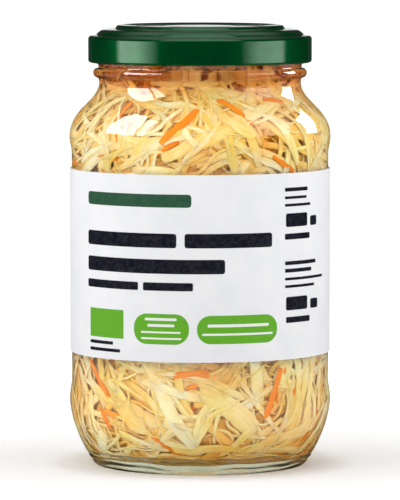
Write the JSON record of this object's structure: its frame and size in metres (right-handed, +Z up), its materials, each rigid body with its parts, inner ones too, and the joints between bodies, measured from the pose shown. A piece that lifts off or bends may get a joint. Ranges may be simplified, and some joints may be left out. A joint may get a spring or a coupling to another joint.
{
  "type": "sauerkraut jar",
  "caption": "Sealed round glass jar of shredded sauerkraut with carrot, with a green twist-off lid and a white paper label.",
  "frame": {"origin": "on the jar's axis, in the plane that its base stands on", "axes": "+Z up along the jar's axis; -Y points out of the middle of the label's front; +X to the right of that view"},
  "size_m": [0.099, 0.099, 0.1666],
  "materials": {
    "jar_glass": "clear, slightly green soda-lime glass, polished",
    "lid_lacquer": "dark green gloss lacquer on tinplate",
    "label_paper": "white satin label paper",
    "cabbage": "wet, slightly translucent pickled cabbage",
    "carrot": "wet pickled carrot",
    "brine": "faintly cloudy pale yellow brine",
    "ink_dark": "near-black printing ink",
    "ink_green": "bright green printing ink",
    "ink_deep_green": "dark green printing ink",
    "ink_white": "white printing ink"
  },
  "bodies": {
    "root": {"glass_jar": "jar_glass", "lid": "lid_lacquer", "label": "label_paper", "sauerkraut": "cabbage"}
  },
  "joints": []
}
